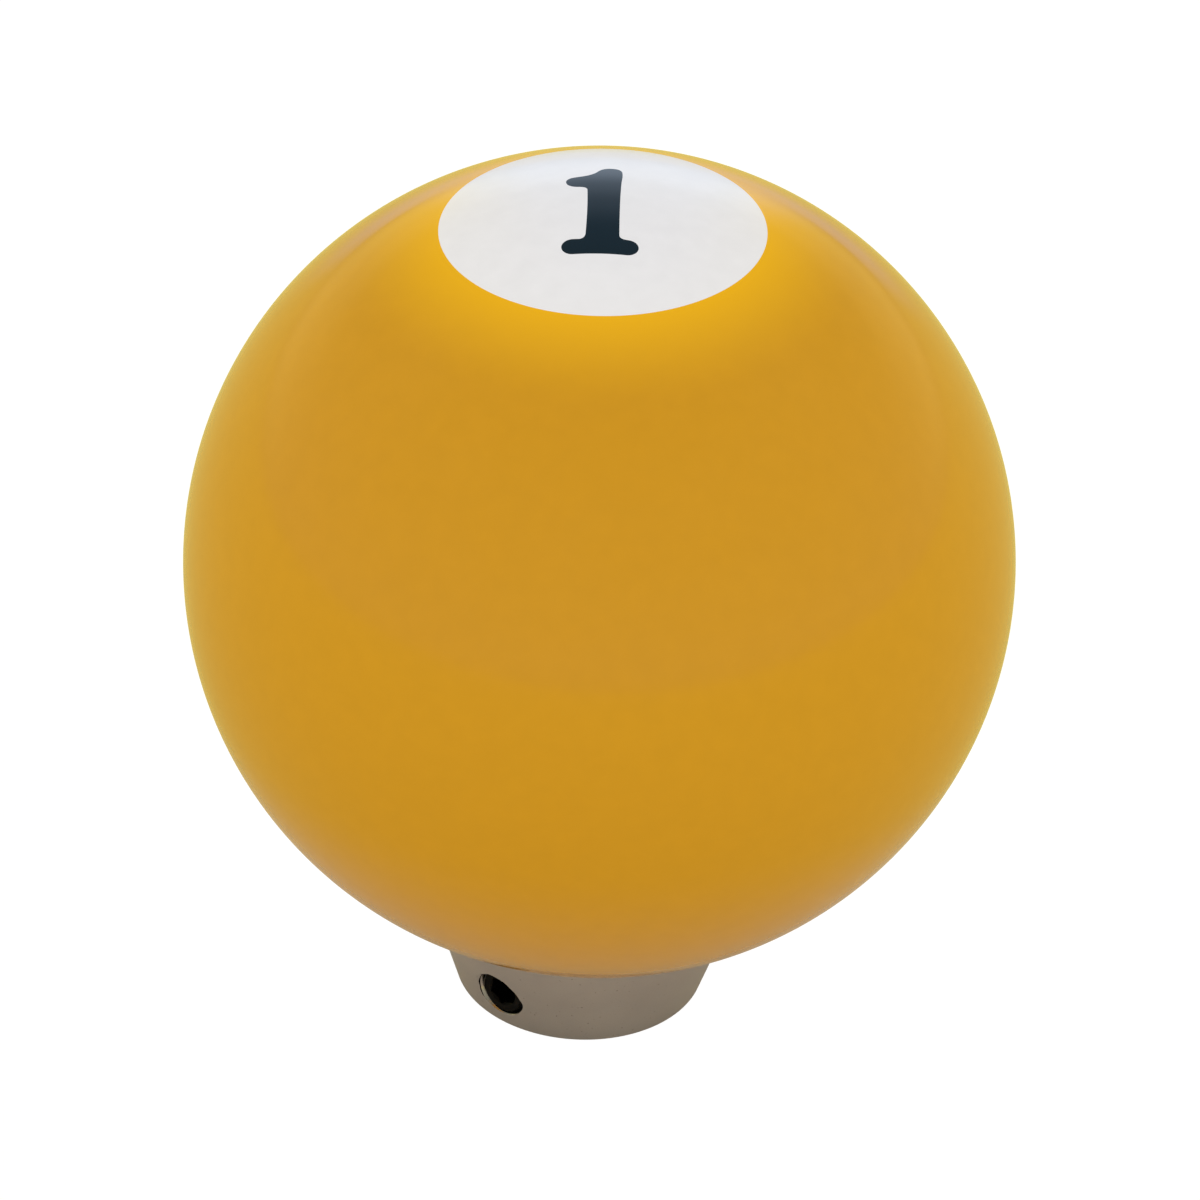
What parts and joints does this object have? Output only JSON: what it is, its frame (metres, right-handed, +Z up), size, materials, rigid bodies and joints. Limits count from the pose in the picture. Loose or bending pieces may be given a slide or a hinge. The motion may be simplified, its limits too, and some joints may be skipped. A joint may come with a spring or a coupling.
{
  "type": "numbered pool ball lever knob",
  "caption": "Cast yellow pool ball with a white number disc, on a tapered metal collar that grub screws clamp to a lever adapter.",
  "frame": {"origin": "centre of the collar's foot, on the plane it stands on", "axes": "+Z up the knob's axis to the top of the ball, with the disc's own axis leaning 1.9 degrees from it towards -X; the numeral reads upright from -Y, so its top is towards +Y; +X to the right of the numeral"},
  "size_m": [0.0572, 0.0572, 0.0635],
  "materials": {
    "yellow_resin": "polished cast resin, solid yellow",
    "white_resin": "polished cast resin, off-white",
    "black_resin": "polished cast resin, black",
    "plated_steel": "nickel-plated turned steel, fine turning marks",
    "brass": "turned brass",
    "black_steel": "black-oxide alloy steel"
  },
  "bodies": {
    "adapter": {"thread_adapter": "brass"},
    "knob": {"ball_body": "yellow_resin", "number_disc": "white_resin", "numeral_one": "black_resin", "core_insert": "brass", "collar": "plated_steel"},
    "set_screw_1": {"set_screw_1": "black_steel"},
    "set_screw_2": {"set_screw_2": "black_steel"},
    "set_screw_3": {"set_screw_3": "black_steel"}
  },
  "joints": [
    {"name": "knob_lift", "type": "slide", "parent": "adapter", "child": "knob", "axis": [0, 0, 1], "range_m": [0, 0.03]},
    {"name": "set_screw_1_feed", "type": "slide", "parent": "knob", "child": "set_screw_1", "axis": [-0.5736, -0.8192, 0], "range_m": [-0.0007, 0.0007]},
    {"name": "set_screw_2_feed", "type": "slide", "parent": "knob", "child": "set_screw_2", "axis": [0.9962, -0.0872, 0], "range_m": [-0.0007, 0.0007]},
    {"name": "set_screw_3_feed", "type": "slide", "parent": "knob", "child": "set_screw_3", "axis": [-0.4226, 0.9063, 0], "range_m": [-0.0007, 0.0007]}
  ]
}
